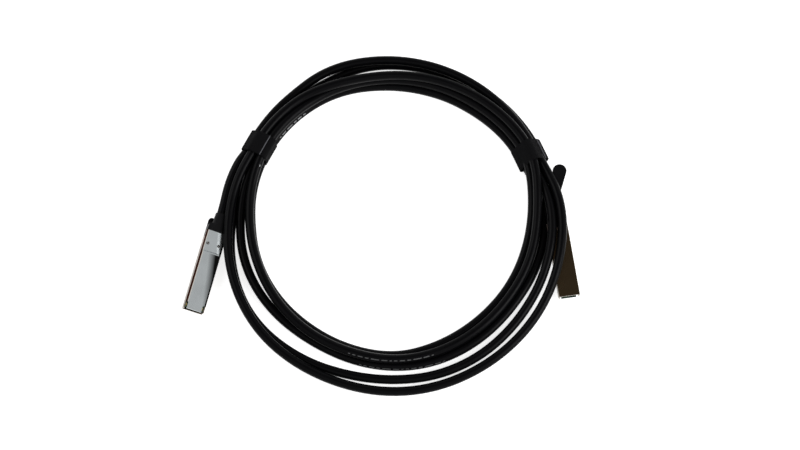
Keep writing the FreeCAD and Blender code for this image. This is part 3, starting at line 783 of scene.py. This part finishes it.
def finishes(settings):
    """Each piece's finish, by the name that both plugs' pieces share."""
    bright = (0.72, 0.70, 0.66)
    return {
        # Painted reflection: the housing bases are coloured dark bronze in place of a reflected dark brown
        "housing_base": grained("base_plate_painted_reflection", settings.base, roughness=0.26, worn=bright, wear=0.8,
                                **PLATED),
        "housing_cover": grained("satin_nickel", settings.cover, roughness=COVER_ROUGHNESS, worn=bright,
                                 **PLATED),
        # Painted shade: the screws are coloured near black to stand for the shade in the recess round each
        # head
        "cover_screws": grained("screw_painted_recess_shade", (0.05, 0.05, 0.05), roughness=0.4, metallic=1.0,
                                worn=bright),
        "paddle_card": grained("solder_mask", (0.015, 0.11, 0.045), roughness=0.35, grain=2500.0),
        "contact_pads": grained("gold_plate", (0.83, 0.60, 0.22), roughness=0.25, metallic=1.0),
        "memory_chip": grained("chip_moulding", (0.02, 0.02, 0.02), roughness=0.55),
        "twinax_pairs": grained("pair_foil", (0.72, 0.72, 0.74), roughness=0.3, metallic=1.0,
                                grain=400.0, depth=0.05),
        "wire_clamp": grained("clamp_resin", (0.7, 0.66, 0.55), roughness=0.5),
        "cable_ferrule": grained("ferrule_plate", (0.6, 0.5, 0.3), roughness=0.35, metallic=1.0),
        "latch_slider": grained("stamped_steel", (0.30, 0.24, 0.20), roughness=0.34, metallic=1.0,
                                grain=600.0, worn=bright),
        "latch_springs": grained("spring_wire", (0.45, 0.45, 0.45), roughness=0.3, metallic=1.0),
        "strain_relief_boot": grained("boot_moulding", settings.moulding, roughness=0.45, **MOULDED),
        "pull_tab": grained("tab_moulding", settings.moulding, roughness=0.42, **MOULDED),
    }


class CABLE_OT_finishes(bpy.types.Operator):
    """Gives every piece of both plugs its finish"""
    bl_idname = "cable_kit.finishes"
    bl_label = "Plug finishes"

    def execute(self, context):
        settings = context.scene.finish_settings
        for piece, material in finishes(settings).items():
            for side in SIDES:
                set_material(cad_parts[piece + "_" + side], material)
        # The first plug's cover gets painted reflections and a painted highlight line on top of its nickel
        set_material(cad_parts["housing_cover_a"], cover_with_painted_light(settings.cover))
        return {"FINISHED"}


# ---------------------------------------------------------------- stage

class StageSettings(bpy.types.PropertyGroup):
    elevation: FloatProperty(name="Elevation", description="Camera's angle above the floor, in degrees",
                             default=72.0, min=5.0, max=90.0)
    azimuth: FloatProperty(name="Azimuth", description="Camera's turn round the cable, in degrees",
                           default=-2.0)
    distance: FloatProperty(name="Distance", description="From the camera to what it looks at",
                            default=1.5, min=0.2, unit="LENGTH")
    lens: FloatProperty(name="Lens", description="Focal length in millimetres", default=76.4, min=10.0)
    sky: FloatProperty(name="Sky", description="Level of the light from all round", default=0.7, min=0.0)
    glow: FloatProperty(name="Floor glow", description="How far the floor shows as white itself",
                        default=0.72, min=0.0, max=1.0)


# The spot on the floor that the camera looks at, in metres
LOOK_AT = Vector((0.0188, 0.0144, 0.0))
# The floor's size and how far it lies under the cable, in metres
FLOOR_SIZE = 6.0
FLOOR_DROP = 0.0002


def add_camera(settings):
    """The camera, placed by its angles and its distance from what it looks at."""
    turn = math.radians(settings.azimuth)
    rise = math.radians(settings.elevation)
    back = Vector((math.sin(turn) * math.cos(rise), -math.cos(turn) * math.cos(rise), math.sin(rise)))
    bpy.ops.object.camera_add(location=LOOK_AT + back * settings.distance)
    camera = active_as("camera")
    camera.rotation_euler = (-back).to_track_quat("-Z", "Y").to_euler()
    camera.data.lens = settings.lens
    camera.data.sensor_width = 36.0
    bpy.context.scene.camera = camera


def add_area_light(name, place, size, power):
    """A rectangular lamp aimed at the cable's origin."""
    bpy.ops.object.light_add(type="AREA", location=place)
    light = active_as(name)
    light.data.shape = "RECTANGLE"
    light.data.size, light.data.size_y = size
    light.data.energy = power
    light.rotation_euler = (-Vector(place)).to_track_quat("-Z", "Y").to_euler()


def shows_white(tree):
    """1 where a surface is seen directly, in gloss or through glass."""
    path = tree.nodes.new("ShaderNodeLightPath")
    seen = add_math(tree, "MAXIMUM", path.outputs["Is Camera Ray"], path.outputs["Is Glossy Ray"])
    return add_math(tree, "MAXIMUM", seen, path.outputs["Is Transmission Ray"])


def floor_material(glow):
    """A white sweep: it shows as white itself, and still keeps the cable's soft shadow."""
    material, nodes, links, shader = new_material("white_sweep")
    shader.inputs["Base Color"].default_value = (0.8, 0.8, 0.8, 1.0)
    shader.inputs["Roughness"].default_value = 0.9
    shader.inputs["Specular IOR Level"].default_value = 0.1
    shader.inputs["Emission Color"].default_value = (1.0, 1.0, 1.0, 1.0)
    level = add_math(material.node_tree, "MULTIPLY", shows_white(material.node_tree), glow)
    links.new(level, shader.inputs["Emission Strength"])
    return material


def world_light(world, strength):
    """A plain sky, darker overhead than at the sides."""
    world.use_nodes = True
    nodes, links = world.node_tree.nodes, world.node_tree.links
    background = nodes["Background"]
    place = nodes.new("ShaderNodeTexCoord")
    match = nodes.new("ShaderNodeVectorMath")
    match.operation = "DOT_PRODUCT"
    match.inputs[1].default_value = Vector((-0.05, 0.25, 0.97)).normalized()
    ramp = nodes.new("ShaderNodeValToRGB")
    ramp.color_ramp.interpolation = "EASE"
    ramp.color_ramp.elements[0].position = 0.84
    ramp.color_ramp.elements[0].color = (1.0, 1.0, 1.0, 1.0)
    ramp.color_ramp.elements[1].position = 0.95
    ramp.color_ramp.elements[1].color = (0.16, 0.14, 0.13, 1.0)
    links.new(place.outputs["Generated"], match.inputs[0])
    links.new(match.outputs["Value"], ramp.inputs["Fac"])
    links.new(ramp.outputs["Color"], background.inputs["Color"])
    background.inputs["Strength"].default_value = strength


class CABLE_OT_stage(bpy.types.Operator):
    """Sets the floor, the lamps, the world and the camera"""
    bl_idname = "cable_kit.stage"
    bl_label = "Stage"

    def execute(self, context):
        settings = context.scene.stage_settings
        bpy.ops.object.select_all(action="DESELECT")
        bpy.ops.mesh.primitive_plane_add(size=FLOOR_SIZE, location=(0, 0, -FLOOR_DROP))
        floor = active_as("floor")
        set_material(floor, floor_material(settings.glow))
        add_area_light("right_softbox", (1.3, -0.5, 0.9), (0.9, 0.9), 16.0)
        add_area_light("left_softbox", (-1.2, 0.6, 1.3), (1.2, 1.2), 8.0)
        if context.scene.world is None:
            context.scene.world = bpy.data.worlds.new("studio")
        world_light(context.scene.world, settings.sky)
        context.scene.view_settings.view_transform = "Standard"
        add_camera(settings)
        return {"FINISHED"}


# ---------------------------------------------------------------- add-on

class CABLE_PT_panel(bpy.types.Panel):
    """Lists the pieces and their settings"""
    bl_idname = "CABLE_PT_panel"
    bl_label = "Copper cable"
    bl_space_type = "VIEW_3D"
    bl_region_type = "UI"
    bl_category = "Cable"

    def draw(self, context):
        for group in PROPERTY_GROUPS:
            settings = getattr(context.scene, group)
            for prop in settings.__annotations__:
                self.layout.prop(settings, prop)
        for operator in OPERATORS:
            self.layout.operator(operator.bl_idname)


PROPERTY_GROUPS = {
    "cable_settings": CableSettings,
    "mark_settings": MarkSettings,
    "strap_settings": StrapSettings,
    "finish_settings": FinishSettings,
    "stage_settings": StageSettings,
}
OPERATORS = [CABLE_OT_stage, CABLE_OT_cable, CABLE_OT_marks, CABLE_OT_straps, CABLE_OT_finishes]


def register():
    for name, group in PROPERTY_GROUPS.items():
        bpy.utils.register_class(group)
        setattr(bpy.types.Scene, name, PointerProperty(type=group))
    for operator in OPERATORS:
        bpy.utils.register_class(operator)
    bpy.utils.register_class(CABLE_PT_panel)


def unregister():
    bpy.utils.unregister_class(CABLE_PT_panel)
    for operator in reversed(OPERATORS):
        bpy.utils.unregister_class(operator)
    for name, group in PROPERTY_GROUPS.items():
        delattr(bpy.types.Scene, name)
        bpy.utils.unregister_class(group)


def main():
    register()
    bpy.ops.cable_kit.stage()
    bpy.ops.cable_kit.cable()
    bpy.ops.cable_kit.marks()
    bpy.ops.cable_kit.straps()
    bpy.ops.cable_kit.finishes()


if __name__ == "__main__":
    main()
